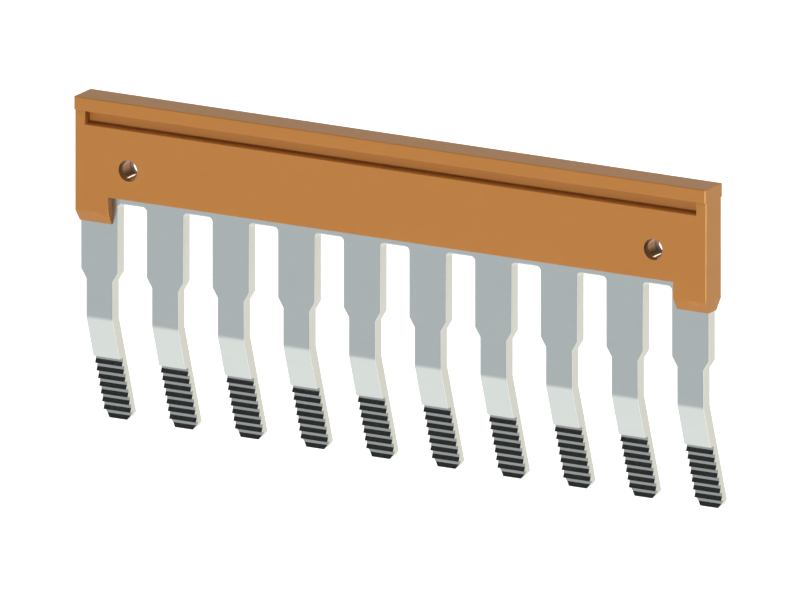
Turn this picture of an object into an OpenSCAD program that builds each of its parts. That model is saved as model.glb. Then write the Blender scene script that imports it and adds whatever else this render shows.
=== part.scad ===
// Plug-in terminal jumper: a row of terminals is bridged by one comb of stamped and bent sheet,
// whose back strip is moulded into an insulating bar. Millimetres. X runs along the row, Y from
// the front to the back and Z up. The origin is the middle of the row, on the middle of the
// sheet, at the underside of the bar, which is the face that sits on the terminals.

/* [Row] */
// Number of prongs
poles = 10; // [3:1:20]
// Distance from one prong to the next
pitch = 6.1; // [5:0.1:8]

/* [Comb strip] */
// Thickness of the sheet
sheet_t = 1.05; // [0.8:0.05:1.3]
// Bar left between the strip and the groove above it
strip_cover = 0.45; // [0.2:0.05:1]
// How far the strip shows below the bar
strip_show = 0.63; // [0.3:0.01:1]
// Radius of the corners between the strip and a prong
gap_r = 0.35; // [0.1:0.05:0.6]

/* [Prongs] */
// Width of a prong at its root
root_w = 3.48; // [3:0.02:3.7]
// Width of the blade below the shoulders
blade_w = 2.5; // [1.8:0.02:2.8]
// Depth of the shoulders below the bar
shoulder_z = 6.42; // [5:0.02:7.5]
// Height of the sloping shoulders
shoulder_h = 0.8; // [0.4:0.1:1.2]
// Depth of the bend below the bar
bend_z = 10.2; // [9:0.1:11]
// Angle by which the blade bends backwards
bend_angle = 18; // [10:1:24]
// Inner radius of the bend
bend_r = 0.3; // [0.2:0.05:1]
// Depth of the tips below the bar
tip_z = 19.43; // [18.5:0.01:21]
// Width taken off each side of a tip
tip_chamfer_w = 0.42; // [0.2:0.02:0.6]
// Height of the tip's side chamfers
tip_chamfer_h = 0.6; // [0.3:0.02:0.8]

/* [Teeth] */
// Number of teeth on the front of a blade
teeth = 8; // [4:1:9]
// Distance from one tooth to the next along the blade
tooth_pitch = 0.73; // [0.5:0.01:0.8]
// Depth of the level ledge under a tooth
tooth_ledge = 0.37; // [0.2:0.01:0.45]
// Height of the upright face between a ledge and the next tooth
tooth_root = 0.33; // [0.2:0.01:0.4]
// How far the teeth lie below the smooth front of the blade
tooth_set = 0.1; // [0.02:0.01:0.2]

/* [Insulating bar] */
// Height of the bar above its underside
bar_h = 8.09; // [7:0.01:10]
// Wall in front of the strip and behind it
wall_t = 0.705; // [0.6:0.005:1]
// Wall at each end of the comb
end_wall = 0.15; // [0.12:0.01:0.6]
// Height of the head along the top
head_h = 1.14; // [0.8:0.02:1.5]
// How far the head stands out over the walls
head_lip = 0.165; // [0.1:0.005:0.4]
// Radius of the bar's outer edges
edge_r = 0.12; // [0.05:0.01:0.2]

/* [Pull-out groove] */
// Depth of the groove under the head, front and back
groove_d = 0.75; // [0.3:0.05:0.9]
// Height of the groove
groove_h = 1.13; // [0.8:0.01:1.4]
// Radius along the bottom of the groove
groove_r = 0.2; // [0.05:0.01:0.28]
// Bar left standing at each end of the groove
groove_end = 0.95; // [0.6:0.05:2]

/* [Ears] */
// Width of the ear over each end prong
ear_w = 3.1; // [2:0.1:3.4]
// Depth of the ears below the bar
ear_z = 2.36; // [1.5:0.02:4]
// Height of the lead-in slopes at the foot of an ear
ear_lead_h = 1; // [0.5:0.05:1.3]
// Wall left beside the prong at the foot of an ear
ear_foot = 0.12; // [0.1:0.02:0.4]
// Wall left at the outer end of an ear's foot
ear_end_foot = 0.04; // [0.02:0.01:0.1]

/* [Locating holes] */
// Diameter of the two holes through bar and comb
hole_d = 1.72; // [1:0.02:2.2]
// Height of the holes above the underside
hole_z = 2.47; // [1.6:0.01:3.5]

/* [Hidden] */
$fn = 64;

bar_colour = "#c08347";
comb_colour = "#b4babb";

row_len = (poles - 1) * pitch;
strip_len = row_len + root_w;
root_gap = pitch - root_w;
bar_len = strip_len + 2 * end_wall;
bar_t = sheet_t + 2 * wall_t;
head_t = bar_t + 2 * head_lip;
head_z = bar_h - head_h;
groove_z = head_z - groove_h;
strip_top = groove_z - strip_cover;
hole_x = row_len / 2 - pitch / 2;

// The front of the blade leaves the outside of the bend, at bend_front below the bend's start.
bend_outer = bend_r + sheet_t;
bend_front = bend_outer * sin(bend_angle);
blade_len = (tip_z - bend_z - bend_front + tooth_set * sin(bend_angle)) / cos(bend_angle);
level = [cos(bend_angle), -sin(bend_angle)];
plumb = [-sin(bend_angle), -cos(bend_angle)];

// Turns a drawing of the side, with Y across and Z up, into a solid along the row.
module along_row(length) {
    rotate([90, 0, 90])
        linear_extrude(length, center = true)
            children();
}

// Turns a drawing of the front, with X across and Z up, into a solid from front to back.
module through_depth(depth) {
    rotate([90, 0, 0])
        linear_extrude(depth, center = true)
            children();
}

module rounded_rect(width, height, r) {
    square([width - 2 * r, height], center = true);
    square([width, height - 2 * r], center = true);
    for (x = [-1, 1], y = [-1, 1])
        translate([x * (width / 2 - r), y * (height / 2 - r)])
            circle(r);
}

// The space between the blades of two neighbours, from their shoulders down past their tips.
module blade_gap() {
    half_gap = (pitch - blade_w) / 2;
    right_side = [
        [root_gap / 2, -shoulder_z],
        [half_gap, -shoulder_z - shoulder_h],
        [half_gap, -tip_z + tip_chamfer_h],
        [half_gap + tip_chamfer_w, -tip_z],
        [half_gap + tip_chamfer_w, -2 * tip_z]
    ];
    left_side = [for (i = [len(right_side) - 1 : -1 : 0]) [-right_side[i][0], right_side[i][1]]];
    polygon(concat(right_side, left_side));
}

// The space between the roots of two neighbours, with round corners at the strip.
module root_gap_outline() {
    top_z = -strip_show;
    translate([-root_gap / 2, -shoulder_z - shoulder_h])
        square([root_gap, shoulder_z + shoulder_h + top_z - gap_r]);
    translate([-root_gap / 2 + gap_r, -shoulder_z])
        square([root_gap - 2 * gap_r, shoulder_z + top_z]);
    for (side = [-1, 1])
        translate([side * (root_gap / 2 - gap_r), top_z - gap_r])
            circle(gap_r);
}

module comb_outline() {
    first_gap = -row_len / 2 - pitch / 2;
    difference() {
        translate([-strip_len / 2, -tip_z])
            square([strip_len, tip_z + strip_top]);
        for (i = [0 : poles])
            translate([first_gap + i * pitch, 0])
                blade_gap();
        for (i = [1 : poles - 1])
            translate([first_gap + i * pitch, 0])
                root_gap_outline();
    }
}

// The blade's side, with its smooth front on x = 0 and the end of the bend at y = 0.
function crest(k) = [tooth_set, -blade_len + (teeth - k) * tooth_pitch];

function notch(k) =
    let (from = k == 0 ? [0, crest(0)[1]] : crest(k))
    let (ledge_end = crest(k) + tooth_ledge * level)
    [from, ledge_end, ledge_end + tooth_root * plumb];

module blade_side() {
    polygon(concat(
        [[bend_outer, 0], [0, 0]],
        [for (k = [0 : teeth - 1]) each notch(k)],
        [crest(teeth), [bend_outer, -blade_len]]
    ));
}

// The sheet from the side: all that lies behind its front face, less all that lies behind its back.
module comb_side() {
    translate([sheet_t / 2 + bend_r, -bend_z])
        difference() {
            union() {
                circle(bend_outer);
                translate([-bend_outer, 0])
                    square([bend_outer, bend_z + strip_top]);
                rotate(bend_angle)
                    translate([-bend_outer, 0])
                        blade_side();
            }
            circle(bend_r);
            translate([-bend_r, 0])
                square([2 * bend_outer, 2 * (bend_z + strip_top)]);
            rotate(bend_angle)
                translate([-bend_r, -2 * tip_z])
                    square([2 * bend_outer, 2 * tip_z]);
        }
}

module locating_holes(depth) {
    for (side = [-1, 1])
        translate([side * hole_x, 0, hole_z])
            rotate([90, 0, 0])
                cylinder(h = depth, d = hole_d, center = true);
}

module contact_comb() {
    color(comb_colour)
        difference() {
            intersection() {
                through_depth(4 * tip_z)
                    comb_outline();
                along_row(2 * strip_len)
                    comb_side();
            }
            locating_holes(2 * sheet_t);
        }
}

module bar_front() {
    translate([-bar_len / 2, 0])
        square([bar_len, bar_h]);
    for (side = [0, 1])
        mirror([side, 0])
            translate([-bar_len / 2, 0])
                polygon([
                    [0, head_z],
                    [0, -ear_z + ear_lead_h],
                    [end_wall - ear_end_foot, -ear_z],
                    [ear_w, -ear_z],
                    [ear_w, head_z]
                ]);
}

// The bar's walls seen from the end, drawn in at the foot so that the ears lead in.
module wall_side() {
    foot_t = sheet_t + 2 * ear_foot;
    polygon([
        [-foot_t / 2, -ear_z],
        [foot_t / 2, -ear_z],
        [bar_t / 2, -ear_z + ear_lead_h],
        [bar_t / 2, bar_h - edge_r],
        [-bar_t / 2, bar_h - edge_r],
        [-bar_t / 2, -ear_z + ear_lead_h]
    ]);
}

module groove_side() {
    floor_y = -bar_t / 2 + groove_d;
    translate([-bar_t, groove_z + groove_r])
        square([floor_y + bar_t, bar_h]);
    translate([-bar_t, groove_z])
        square([floor_y + bar_t - groove_r, bar_h]);
    translate([floor_y - groove_r, groove_z + groove_r])
        circle(groove_r);
}

module bar_walls() {
    difference() {
        intersection() {
            along_row(2 * bar_len)
                wall_side();
            through_depth(2 * bar_t)
                bar_front();
            linear_extrude(4 * bar_h, center = true)
                rounded_rect(bar_len, bar_t, edge_r);
        }
        for (side = [0, 1])
            mirror([0, side, 0])
                along_row(bar_len - 2 * groove_end)
                    groove_side();
    }
}

module bar_head() {
    translate([0, 0, head_z + head_h / 2])
        intersection() {
            along_row(2 * bar_len)
                rounded_rect(head_t, head_h, edge_r);
            linear_extrude(2 * head_h, center = true)
                rounded_rect(bar_len, head_t, edge_r);
        }
}

// The bar is moulded round the comb's strip, so the slot in it has the comb's own outline.
module insulating_bar() {
    color(bar_colour)
        difference() {
            union() {
                bar_walls();
                bar_head();
            }
            through_depth(sheet_t)
                comb_outline();
            locating_holes(2 * head_t);
        }
}

insulating_bar();
contact_comb();
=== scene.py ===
import math

import bpy
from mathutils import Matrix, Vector


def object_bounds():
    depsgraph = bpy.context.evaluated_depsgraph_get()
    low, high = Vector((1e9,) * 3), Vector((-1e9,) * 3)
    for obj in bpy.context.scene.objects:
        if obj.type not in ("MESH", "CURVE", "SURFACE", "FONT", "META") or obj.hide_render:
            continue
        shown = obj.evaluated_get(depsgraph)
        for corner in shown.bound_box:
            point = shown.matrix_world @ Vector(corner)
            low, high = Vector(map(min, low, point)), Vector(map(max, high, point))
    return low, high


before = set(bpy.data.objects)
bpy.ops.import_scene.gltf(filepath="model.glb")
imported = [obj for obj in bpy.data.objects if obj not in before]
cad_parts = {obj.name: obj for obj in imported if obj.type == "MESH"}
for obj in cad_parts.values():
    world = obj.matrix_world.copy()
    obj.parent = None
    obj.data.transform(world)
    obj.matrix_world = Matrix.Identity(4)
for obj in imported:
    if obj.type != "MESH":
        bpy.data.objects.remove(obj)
cad_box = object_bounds()

# Insulating bar: one long moulding of orange-brown polyamide, with a satin skin from the mould. It
# is moulded round the comb's strip. Handling has rubbed its upright edges glossy, and their pale
# colour is a painted highlight. The punch that pierced the two holes has burnished their walls
# glossy, and the walls are painted dark as the shade inside the holes.
MM = 0.001
BAR_EDGE_MM = 0.045
BAR_SLOT_HALF_MM = 0.6
BAR_SLOT_TOP_MM = 6.0
BAR_COLOUR = (0.450, 0.180, 0.036, 1)
BAR_PALE = (0.480, 0.198, 0.044, 1)
BAR_ROUGHNESS = (0.34, 0.46)
BAR_IOR = 1.53
BAR_SHEEN = 0.38
BAR_CLOUD_SCALE = 220.0
BAR_GRAIN_SCALE = 9000.0
BAR_GRAIN_STRETCH = 2.0
BAR_GRAIN_STRENGTH = 0.1
BAR_GRAIN_MM = 0.01
# The rubbed upright edges: their pale colour is a painted highlight.
BAR_RUBBED_PAINTED_HIGHLIGHT = (0.800, 0.390, 0.130, 1)
BAR_RUBBED_ROUGHNESS = 0.22
BAR_RUBBED_HIGHLIGHT_SCALE = 700.0
BAR_RUBBED_HIGHLIGHT_TILT = (0.4, 0.2)
BAR_RUBBED_HIGHLIGHT_BEYOND_MM = 0.95
HOLE_PLACE_MM = (24.4, 2.47)
HOLE_WALL_MM = 0.88
# The holes' walls: their dark colour is painted shade.
BAR_HOLE_PAINTED_SHADE = (0.240, 0.092, 0.022, 1)
BAR_BURNISHED_ROUGHNESS = 0.2


class Nodes:
    """Adds nodes to one tree and gives their outputs. An input is a plain value or another node's
    output. It is named with underscores for spaces, or is _0, _1 and so on by its place."""

    def __init__(self, tree):
        self.tree = tree

    def put(self, value, socket):
        """Links an output to the socket, or sets the socket to a plain value."""
        if isinstance(value, bpy.types.NodeSocket):
            self.tree.links.new(value, socket)
        else:
            socket.default_value = value

    def add(self, kind, settings=None, **inputs):
        node = self.tree.nodes.new(kind)
        for name, value in (settings or {}).items():
            setattr(node, name, value)
        for name, value in inputs.items():
            key = int(name[1:]) if name[0] == "_" else name.replace("_", " ")
            self.put(value, node.inputs[key])
        return node.outputs

    def work_out(self, kind, operation, values):
        """One operation on the values, in their order."""
        inputs = {f"_{place}": value for place, value in enumerate(values)}
        return self.add(kind, {"operation": operation}, **inputs)

    def maths(self, operation, *values):
        return self.work_out("ShaderNodeMath", operation, values)[0]

    def logic(self, operation, *values):
        return self.work_out("FunctionNodeBooleanMath", operation, values)[0]

    def vectors(self, operation, *values):
        outputs = self.work_out("ShaderNodeVectorMath", operation, values)
        return outputs["Value" if operation in ("DOT_PRODUCT", "LENGTH") else "Vector"]

    def compare(self, operation, value, limit):
        return self.add("FunctionNodeCompare", {"operation": operation}, A=value, B=limit)[0]

    def ramp(self, value, span, result=(0.0, 1.0), kind="LINEAR"):
        """Goes through the result's range while the value goes through its span."""
        return self.add(
            "ShaderNodeMapRange", {"interpolation_type": kind},
            Value=value, From_Min=span[0], From_Max=span[1], To_Min=result[0], To_Max=result[1],
        )["Result"]

    def mix(self, share, a, b, kind="FLOAT"):
        return self.add("ShaderNodeMix", {"data_type": kind}, Factor=share, A=a, B=b)["Result"]

    def noise(self, place, scale, detail):
        return self.add("ShaderNodeTexNoise", Vector=place, Scale=scale, Detail=detail)[0]


def round_edges(node, width_mm, left_sharp):
    """Rounds a solid's hard outer edges and keeps its flats flat. Each zone of left_sharp is a list
    of (direction, limit in mm), and an edge that lies below all of its limits stays sharp."""
    same_point = 0.0002 * MM
    flat_angle = math.radians(0.5)
    crease_angle = math.radians(15)
    outer_angle = math.radians(60)

    # The solid's triangles become whole flats.
    weld = node.modifiers.new("weld", "WELD")
    weld.merge_threshold = same_point
    flats = node.modifiers.new("flats", "DECIMATE")
    flats.decimate_type = "DISSOLVE"
    flats.angle_limit = flat_angle

    # The edges to round get a weight, and the other hard edges stay crisp.
    tree = bpy.data.node_groups.new(node.name + " edges to round", "GeometryNodeTree")
    for way in ("INPUT", "OUTPUT"):
        tree.interface.new_socket("Geometry", in_out=way, socket_type="NodeSocketGeometry")
    nodes = Nodes(tree)
    place = nodes.add("GeometryNodeInputPosition")["Position"]
    angles = nodes.add("GeometryNodeInputMeshEdgeAngle")
    picked = nodes.compare("GREATER_THAN", angles["Signed Angle"], outer_angle)
    for zone in left_sharp:
        inside = True
        for direction, limit_mm in zone:
            along = nodes.vectors("DOT_PRODUCT", place, direction)
            inside = nodes.logic("AND", inside, nodes.compare("LESS_THAN", along, limit_mm * MM))
        picked = nodes.logic("NIMPLY", picked, inside)
    hard = nodes.compare("GREATER_THAN", angles["Unsigned Angle"], crease_angle)
    crisp = nodes.logic("NIMPLY", hard, picked)
    mesh = nodes.add("NodeGroupInput")["Geometry"]
    mesh = nodes.add("GeometryNodeRemoveAttribute", Geometry=mesh, Name="custom_normal")[0]
    mesh = nodes.add(
        "GeometryNodeSetShadeSmooth", {"domain": "FACE"}, Geometry=mesh, Shade_Smooth=True,
    )[0]
    mesh = nodes.add(
        "GeometryNodeSetShadeSmooth", {"domain": "EDGE"},
        Geometry=mesh, Selection=crisp, Shade_Smooth=False,
    )[0]
    mesh = nodes.add(
        "GeometryNodeStoreNamedAttribute", {"data_type": "FLOAT", "domain": "EDGE"},
        Geometry=mesh, Name="bevel_weight_edge", Value=picked,
    )[0]
    nodes.add("NodeGroupOutput", Geometry=mesh)
    node.modifiers.new("edges to round", "NODES").node_group = tree

    # The weighted edges are rounded, and the flats beside them are shaded flat.
    rounded = node.modifiers.new("rounded", "BEVEL")
    rounded.width = width_mm * MM
    rounded.segments = 3
    rounded.limit_method = "WEIGHT"
    rounded.use_clamp_overlap = False
    joined = node.modifiers.new("joined", "WELD")
    joined.merge_threshold = same_point
    normals = node.modifiers.new("normals", "WEIGHTED_NORMAL")
    normals.keep_sharp = True
    normals.weight = 100


def shader_group(name, inputs, outputs):
    """A node group with plain numbers going in and coming out, and what adds its nodes."""
    tree = bpy.data.node_groups.new(name, "ShaderNodeTree")
    for way, sockets in (("INPUT", inputs), ("OUTPUT", outputs)):
        for socket in sockets:
            tree.interface.new_socket(socket, in_out=way, socket_type="NodeSocketFloat")
    return tree, Nodes(tree)


def fine_surface_group():
    """Cloudy and fine-grained variation over a surface, as masks from 0 to 1. The stretch packs it
    closer from front to back and upwards, so that it runs along the row."""
    tree, nodes = shader_group(
        "fine surface", ("Cloud Scale", "Grain Scale", "Stretch"), ("Cloud", "Grain"),
    )
    inputs = nodes.add("NodeGroupInput")
    place = nodes.add("ShaderNodeTexCoord")["Object"]
    stretch = nodes.add("ShaderNodeCombineXYZ", X=1.0, Y=inputs["Stretch"], Z=inputs["Stretch"])[0]
    drawn = nodes.vectors("MULTIPLY", place, stretch)
    nodes.add(
        "NodeGroupOutput",
        Cloud=nodes.noise(drawn, inputs["Cloud Scale"], detail=3.0),
        Grain=nodes.noise(drawn, inputs["Grain Scale"], detail=2.0),
    )
    return tree


def rubbed_and_highlighted_edges_group():
    """Where handling has polished the rounded edges, and where a highlight is painted on them, as a
    mask from 0 to 1. Facing is 1 on a flat, 0 on the faces square to it, and between the two on the
    edges."""
    leaving_side = (0.15, 0.40)
    leaving_flat = (0.98, 0.88)
    patchy = (0.35, 0.60)
    least_and_most = (0.75, 1.0)
    tree, nodes = shader_group("rubbed edges", ("Facing", "Patch Scale"), ("Mask",))
    inputs = nodes.add("NodeGroupInput")
    off_side = nodes.ramp(inputs["Facing"], leaving_side, kind="SMOOTHSTEP")
    off_flat = nodes.ramp(inputs["Facing"], leaving_flat, kind="SMOOTHSTEP")
    edge = nodes.maths("MULTIPLY", off_side, off_flat)
    place = nodes.add("ShaderNodeTexCoord")["Object"]
    patches = nodes.noise(place, inputs["Patch Scale"], detail=3.0)
    worn_and_highlighted = nodes.ramp(patches, patchy, least_and_most)
    nodes.add("NodeGroupOutput", Mask=nodes.maths("MULTIPLY", edge, worn_and_highlighted))
    return tree


def hole_wall_group():
    """The walls of the two holes, which mirror each other, as a mask of 0 or 1."""
    tree, nodes = shader_group("hole wall", (), ("Mask",))
    centre = (HOLE_PLACE_MM[0] * MM, 0, HOLE_PLACE_MM[1] * MM)
    mirrored = nodes.vectors("ABSOLUTE", nodes.add("ShaderNodeTexCoord")["Object"])
    from_hole = nodes.vectors("SUBTRACT", mirrored, centre)
    across = nodes.vectors("MULTIPLY", from_hole, (1, 0, 1))
    away = nodes.vectors("LENGTH", across)
    nodes.add("NodeGroupOutput", Mask=nodes.maths("LESS_THAN", away, HOLE_WALL_MM * MM))
    return tree


def new_material(name):
    """A material, what adds its nodes, and its shader's inputs."""
    material = bpy.data.materials.new(name)
    material.use_nodes = True
    tree = material.node_tree
    return material, Nodes(tree), tree.nodes["Principled BSDF"].inputs


FINE_SURFACE = fine_surface_group()
RUBBED_AND_HIGHLIGHTED_EDGES = rubbed_and_highlighted_edges_group()
HOLE_WALL = hole_wall_group()

bar_plastic, nodes, shader = new_material("orange-brown polyamide")
shader["IOR"].default_value = BAR_IOR
shader["Specular IOR Level"].default_value = BAR_SHEEN
surface = nodes.add(
    "ShaderNodeGroup", {"node_tree": FINE_SURFACE},
    Cloud_Scale=BAR_CLOUD_SCALE, Grain_Scale=BAR_GRAIN_SCALE, Stretch=BAR_GRAIN_STRETCH,
)
normal = nodes.vectors("ABSOLUTE", nodes.add("ShaderNodeNewGeometry")["Normal"])
facing = nodes.add("ShaderNodeSeparateXYZ", Vector=normal)
# Upright edges, rubbed glossier, with a pale painted highlight laid on them.
rubbed_and_highlighted = nodes.add(
    "ShaderNodeGroup", {"node_tree": RUBBED_AND_HIGHLIGHTED_EDGES},
    Facing=facing["Y"], Patch_Scale=BAR_RUBBED_HIGHLIGHT_SCALE,
)["Mask"]
from_middle = nodes.vectors("ABSOLUTE", nodes.add("ShaderNodeTexCoord")["Object"])
outward = nodes.add("ShaderNodeSeparateXYZ", Vector=from_middle)["Y"]
for mask in (
    nodes.ramp(facing["Z"], BAR_RUBBED_HIGHLIGHT_TILT),
    nodes.maths("GREATER_THAN", outward, BAR_RUBBED_HIGHLIGHT_BEYOND_MM * MM),
):
    rubbed_and_highlighted = nodes.maths("MULTIPLY", rubbed_and_highlighted, mask)
# The holes' walls, glossy and painted dark as the shade inside them.
in_hole = nodes.add("ShaderNodeGroup", {"node_tree": HOLE_WALL})["Mask"]
tone = nodes.mix(surface["Cloud"], BAR_COLOUR, BAR_PALE, "RGBA")
gloss = nodes.ramp(surface["Grain"], (0.0, 1.0), BAR_ROUGHNESS)
for share, colour, roughness in (
    (rubbed_and_highlighted, BAR_RUBBED_PAINTED_HIGHLIGHT, BAR_RUBBED_ROUGHNESS),
    (in_hole, BAR_HOLE_PAINTED_SHADE, BAR_BURNISHED_ROUGHNESS),
):
    tone = nodes.mix(share, tone, colour, "RGBA")
    gloss = nodes.mix(share, gloss, roughness)
grain = nodes.add(
    "ShaderNodeBump",
    Strength=BAR_GRAIN_STRENGTH, Distance=BAR_GRAIN_MM * MM, Height=surface["Grain"],
)["Normal"]
nodes.put(tone, shader["Base Color"])
nodes.put(gloss, shader["Roughness"])
nodes.put(grain, shader["Normal"])

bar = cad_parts["insulating_bar"]
bar.data.materials.clear()
bar.data.materials.append(bar_plastic)
in_slot = [
    ((0, 1, 0), BAR_SLOT_HALF_MM),
    ((0, -1, 0), BAR_SLOT_HALF_MM),
    ((0, 0, 1), BAR_SLOT_TOP_MM),
]
round_edges(bar, BAR_EDGE_MM, [in_slot])

# Contact comb: copper-alloy sheet, stamped, bent and tin-plated. The press leaves slightly rounded
# edges and the rolled sheet a faint grain along the row. The two holes are pierced last, through
# the bar and the strip together, so that their walls show the bare alloy.
COMB_EDGE_MM = 0.11
COMB_COVERED_ABOVE_MM = -0.3
SHEET_FRONT_MM = -0.525
BEND_DEG = 18
BLADE_FRONT_MM = -3.717
TEETH_TOP_MM = -13.8
TEETH_DEPTH_MM = 0.5
TIN_COLOUR = (0.62, 0.65, 0.64, 1)
TIN_DULL = (0.59, 0.62, 0.61, 1)
TIN_ROUGHNESS = (0.26, 0.34)
TIN_CLOUD_SCALE = 260.0
TIN_GRAIN_SCALE = 2500.0
TIN_GRAIN_STRETCH = 6.0
TIN_GRAIN_STRENGTH = 0.05
TIN_GRAIN_MM = 0.005
# The rubbed edges: their slightly paler colour is a painted highlight.
TIN_RUBBED_PAINTED_HIGHLIGHT = (0.68, 0.70, 0.69, 1)
TIN_RUBBED_ROUGHNESS = 0.24
TIN_RUBBED_HIGHLIGHT_SCALE = 900.0
TIN_TORN = (0.65, 0.67, 0.645, 1)
TIN_TORN_ROUGHNESS = 0.42
STAMPED_FACING = (0.45, 0.25)
SHEAR_DEPTH_MM = (0.34, 0.44)
SHEAR_RAGGED_MM = 0.12
SHEAR_LINE_SCALE = 7000.0
SHEAR_LINE_STRETCH = (1, 0.06, 1)
NOTCH_FACING = (0.85, 0.92)
NOTCH_DEPTH_MM = (0.34, 0.36)
NOTCH_LIMIT_MM = 0.6
# The upright faces between the teeth: their darker colour is painted shade.
NOTCH_PAINTED_SHADE = (0.47, 0.485, 0.485, 1)
NOTCH_ROUGHNESS = 0.4
BARE_ALLOY = (0.28, 0.13, 0.062, 1)
BARE_ROUGHNESS = 0.14
BARE_RELIEF = 0.5

tin, nodes, shader = new_material("tin plating")
shader["Metallic"].default_value = 1
surface = nodes.add(
    "ShaderNodeGroup", {"node_tree": FINE_SURFACE},
    Cloud_Scale=TIN_CLOUD_SCALE, Grain_Scale=TIN_GRAIN_SCALE, Stretch=TIN_GRAIN_STRETCH,
)
place = nodes.add("ShaderNodeTexCoord")["Object"]
normal = nodes.add("ShaderNodeNewGeometry")["Normal"]

# How far a point lies behind the sheet's front, which is upright above the bend and slopes below.
into_strip = (0, 1, 0)
into_blade = (0, math.cos(math.radians(BEND_DEG)), math.sin(math.radians(BEND_DEG)))
along_strip = nodes.vectors("DOT_PRODUCT", place, into_strip)
behind_strip = nodes.maths("SUBTRACT", along_strip, SHEET_FRONT_MM * MM)
along_blade = nodes.vectors("DOT_PRODUCT", place, into_blade)
behind_blade = nodes.maths("SUBTRACT", along_blade, BLADE_FRONT_MM * MM)
depth = nodes.maths("MINIMUM", behind_strip, behind_blade)
on_blade = nodes.maths("LESS_THAN", behind_blade, behind_strip)
into_sheet = nodes.mix(on_blade, into_strip, into_blade, "VECTOR")
facing = nodes.maths("ABSOLUTE", nodes.vectors("DOT_PRODUCT", normal, into_sheet))
# Rubbed edges: glossier, and a little paler as a painted highlight.
rubbed_and_highlighted = nodes.add(
    "ShaderNodeGroup", {"node_tree": RUBBED_AND_HIGHLIGHTED_EDGES},
    Facing=facing, Patch_Scale=TIN_RUBBED_HIGHLIGHT_SCALE,
)["Mask"]

# The press shears a stamped face smooth at the front and tears it at the back, in fine lines.
lines_place = nodes.vectors("MULTIPLY", place, SHEAR_LINE_STRETCH)
lines = nodes.noise(lines_place, SHEAR_LINE_SCALE, detail=2.0)
ragged = nodes.maths("MULTIPLY_ADD", lines, SHEAR_RAGGED_MM * MM, depth)
tear = nodes.ramp(ragged, [mm * MM for mm in SHEAR_DEPTH_MM])
stamped = nodes.ramp(facing, STAMPED_FACING)
torn = nodes.maths("MULTIPLY", tear, stamped)

# The upright faces between the teeth are rougher, and painted darker as the shade under each
# tooth's overhang.
painted_notch_shade = nodes.ramp(behind_blade, [mm * MM for mm in NOTCH_DEPTH_MM])
for mask in (
    on_blade,
    nodes.maths("LESS_THAN", behind_blade, NOTCH_LIMIT_MM * MM),
    nodes.ramp(facing, NOTCH_FACING),
):
    painted_notch_shade = nodes.maths("MULTIPLY", painted_notch_shade, mask)

in_hole = nodes.add("ShaderNodeGroup", {"node_tree": HOLE_WALL})["Mask"]
tone = nodes.mix(surface["Cloud"], TIN_COLOUR, TIN_DULL, "RGBA")
gloss = nodes.ramp(surface["Grain"], (0.0, 1.0), TIN_ROUGHNESS)
for share, colour, roughness in (
    (torn, TIN_TORN, TIN_TORN_ROUGHNESS),
    (rubbed_and_highlighted, TIN_RUBBED_PAINTED_HIGHLIGHT, TIN_RUBBED_ROUGHNESS),
    (painted_notch_shade, NOTCH_PAINTED_SHADE, NOTCH_ROUGHNESS),
    (in_hole, BARE_ALLOY, BARE_ROUGHNESS),
):
    tone = nodes.mix(share, tone, colour, "RGBA")
    gloss = nodes.mix(share, gloss, roughness)
relief = nodes.mix(stamped, surface["Grain"], lines)
relief = nodes.mix(in_hole, relief, BARE_RELIEF)
grain = nodes.add(
    "ShaderNodeBump", Strength=TIN_GRAIN_STRENGTH, Distance=TIN_GRAIN_MM * MM, Height=relief,
)["Normal"]
nodes.put(tone, shader["Base Color"])
nodes.put(gloss, shader["Roughness"])
nodes.put(grain, shader["Normal"])

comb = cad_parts["contact_comb"]
comb.data.materials.clear()
comb.data.materials.append(tin)
in_bar = [((0, 0, -1), -COMB_COVERED_ABOVE_MM)]
on_teeth = [(into_blade, BLADE_FRONT_MM + TEETH_DEPTH_MM), ((0, 0, 1), TEETH_TOP_MM)]
round_edges(comb, COMB_EDGE_MM, [in_bar, on_teeth])

# Stage: a white light table at the tips' height, which also fills the background. It lets the
# lamp below it through, and gives the part only a weak fill of its own.
FLOOR_SIZE = 6.0
FLOOR_WHITE = (0.8, 0.8, 0.8, 1)
FLOOR_ROUGHNESS = 0.9
FLOOR_GLOW = (0.9, 0.9, 0.9, 1)
FLOOR_FILL = (0.09, 0.09, 0.09, 1)
half = FLOOR_SIZE / 2
corners = [(-half, -half), (half, -half), (half, half), (-half, half)]
floor_mesh = bpy.data.meshes.new("floor")
floor_mesh.from_pydata([(x, y, cad_box[0].z) for x, y in corners], [], [(0, 1, 2, 3)])
floor = bpy.data.objects.new("floor", floor_mesh)
floor.visible_glossy = False
floor.visible_shadow = False
bpy.context.scene.collection.objects.link(floor)
table, nodes, shader = new_material("white light table")
shader["Base Color"].default_value = FLOOR_WHITE
shader["Roughness"].default_value = FLOOR_ROUGHNESS
shader["Emission Strength"].default_value = 1
seen = nodes.add("ShaderNodeLightPath")["Is Camera Ray"]
nodes.put(nodes.mix(seen, FLOOR_FILL, FLOOR_GLOW, "RGBA"), shader["Emission Color"])
floor_mesh.materials.append(table)

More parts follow.
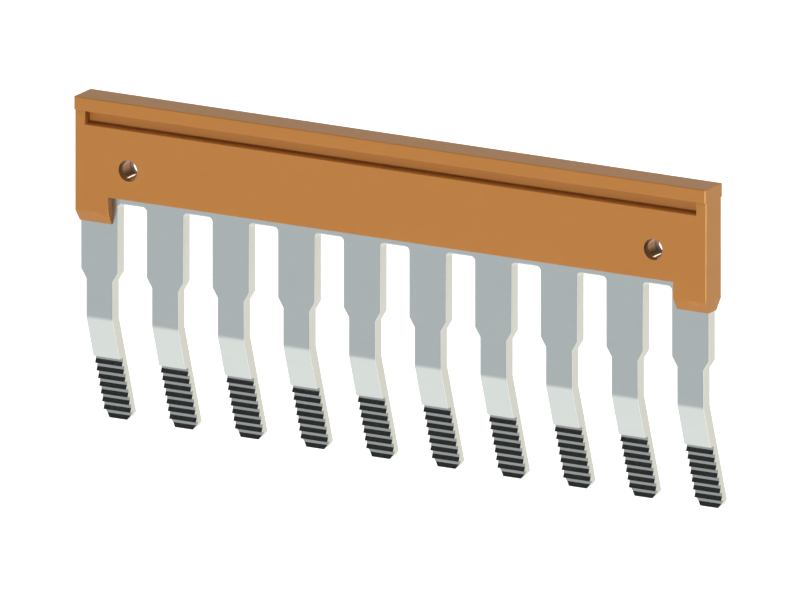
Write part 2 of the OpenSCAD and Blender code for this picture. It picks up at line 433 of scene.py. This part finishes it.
# Studio: the room that the part mirrors and that fills its shadows. It is dark above in front and
# grey above behind. Below the horizon it goes from grey at the front left, through a dark left, to
# white at the right and cream behind, and it is white underneath.
ROOM_RIGHT = (0.866, 0.5, 0.0)
ROOM_BANDS = (
    (-0.70, (0.68, 0.715, 0.74, 1)),
    (-0.45, (0.30, 0.31, 0.32, 1)),
    (0.00, (0.70, 0.70, 0.68, 1)),
    (0.45, (1.50, 1.50, 1.46, 1)),
    (0.80, (1.08, 1.03, 0.92, 1)),
)
ROOM_UNDER = (-0.39, -0.57)
ROOM_UNDER_WHITE = (1.18, 1.19, 1.16, 1)
ROOM_HORIZON = (-0.05, 0.10)
ROOM_TO_BACK = (-0.6, 0.2)
ROOM_DARK_AND_GREY = (0.038, 1.05)
ROOM_TINT = (0.99, 1.0, 0.94)
ROOM_UPWARD = (0.15, 0.42)
ROOM_UPWARD_DIM = 0.35
ROOM_TO_RIGHT = (0.2, 0.7)
ROOM_RIGHT_DIM = 0.6
world = bpy.data.worlds.new("studio")
world.use_nodes = True
nodes = Nodes(world.node_tree)
towards = nodes.add("ShaderNodeTexCoord")["Generated"]
axes = nodes.add("ShaderNodeSeparateXYZ", Vector=towards)
rightward = nodes.vectors("DOT_PRODUCT", towards, ROOM_RIGHT)
bands = nodes.add("ShaderNodeValToRGB", Fac=nodes.ramp(rightward, (-1.0, 1.0)))["Color"]
stops = bands.node.color_ramp.elements
while len(stops) < len(ROOM_BANDS):
    stops.new(0.5)
for stop, (where, colour) in zip(stops, ROOM_BANDS):
    stop.position = (where + 1) / 2
    stop.color = colour
under = nodes.ramp(axes["Z"], ROOM_UNDER)
lower = nodes.mix(under, bands, ROOM_UNDER_WHITE, "RGBA")
upper = nodes.ramp(axes["Y"], ROOM_TO_BACK, ROOM_DARK_AND_GREY)
for dimmed in (
    nodes.ramp(axes["Z"], ROOM_UPWARD, (1.0, ROOM_UPWARD_DIM)),
    nodes.ramp(rightward, ROOM_TO_RIGHT, (1.0, ROOM_RIGHT_DIM)),
):
    upper = nodes.maths("MULTIPLY", upper, dimmed)
upper = nodes.vectors("MULTIPLY", upper, ROOM_TINT)
room = nodes.mix(nodes.ramp(axes["Z"], ROOM_HORIZON), lower, upper, "RGBA")
nodes.put(room, world.node_tree.nodes["Background"].inputs["Color"])
bpy.context.scene.world = world

# Lamps: round and soft, all aimed at the part. Four light it, and one small lamp behind it is only
# mirrored, as the streak in the holes.
LAMP_DISTANCE = 0.5
YELLOWISH = (1, 1.03, 0.68)


def out_from_part(azimuth_deg, elevation_deg):
    """The direction from the part, by degrees to the right of its front and degrees up."""
    azimuth, elevation = math.radians(azimuth_deg), math.radians(elevation_deg)
    level = math.cos(elevation)
    return Vector((math.sin(azimuth) * level, -math.cos(azimuth) * level, math.sin(elevation)))


def soft_lamp(name, azimuth_deg, elevation_deg, size, watts, tint=(1, 1, 1), mirrored=False):
    """A lamp that lights the part, or that is only mirrored in it."""
    light = bpy.data.lights.new(name, "AREA")
    light.shape = "DISK"
    light.size = size
    light.energy = watts
    light.color = tint
    out = out_from_part(azimuth_deg, elevation_deg)
    lamp = bpy.data.objects.new(name, light)
    lamp.location = out * LAMP_DISTANCE
    lamp.rotation_euler = out.to_track_quat("Z", "Y").to_euler()
    lamp.visible_diffuse = not mirrored
    lamp.visible_glossy = mirrored
    bpy.context.scene.collection.objects.link(lamp)


soft_lamp("front lamp", azimuth_deg=-5, elevation_deg=-15, size=0.06, watts=1.31)
soft_lamp("top lamp", azimuth_deg=20, elevation_deg=58, size=0.2, watts=0.95)
soft_lamp("right lamp", azimuth_deg=100, elevation_deg=5, size=0.2, watts=0.85, tint=YELLOWISH)
soft_lamp("back lamp", azimuth_deg=180, elevation_deg=6, size=0.2, watts=0.95)
soft_lamp("small lamp", azimuth_deg=189, elevation_deg=32, size=0.05, watts=0.07, mirrored=True)

# Camera: seen from 30 degrees to the right and 15 degrees up, without perspective, as the
# photograph is. The origin and the scale are those of the part in the photograph.
VIEW_AZIMUTH_DEG = 30
VIEW_ELEVATION_DEG = 15
VIEW_DISTANCE = 0.3
VIEW_NEAREST = 0.01
VIEW_FARTHEST = 20
PHOTO_WIDTH_PX = 800
PHOTO_HEIGHT_PX = 600
PIXELS_PER_MM = 12.427
ORIGIN_PX = (398.1, 236.5)
back = out_from_part(VIEW_AZIMUTH_DEG, VIEW_ELEVATION_DEG)
camera = bpy.data.objects.new("camera", bpy.data.cameras.new("camera"))
camera.data.type = "ORTHO"
camera.data.ortho_scale = PHOTO_WIDTH_PX / PIXELS_PER_MM * MM
camera.data.clip_start = VIEW_NEAREST
camera.data.clip_end = VIEW_FARTHEST
camera.rotation_mode = "QUATERNION"
camera.rotation_quaternion = back.to_track_quat("Z", "Y")
right = camera.rotation_quaternion @ Vector((1, 0, 0))
up = camera.rotation_quaternion @ Vector((0, 1, 0))
aim_px = right * (PHOTO_WIDTH_PX / 2 - ORIGIN_PX[0]) - up * (PHOTO_HEIGHT_PX / 2 - ORIGIN_PX[1])
camera.location = aim_px / PIXELS_PER_MM * MM + back * VIEW_DISTANCE
bpy.context.scene.collection.objects.link(camera)
bpy.context.scene.camera = camera
bpy.context.scene.view_settings.view_transform = "Standard"
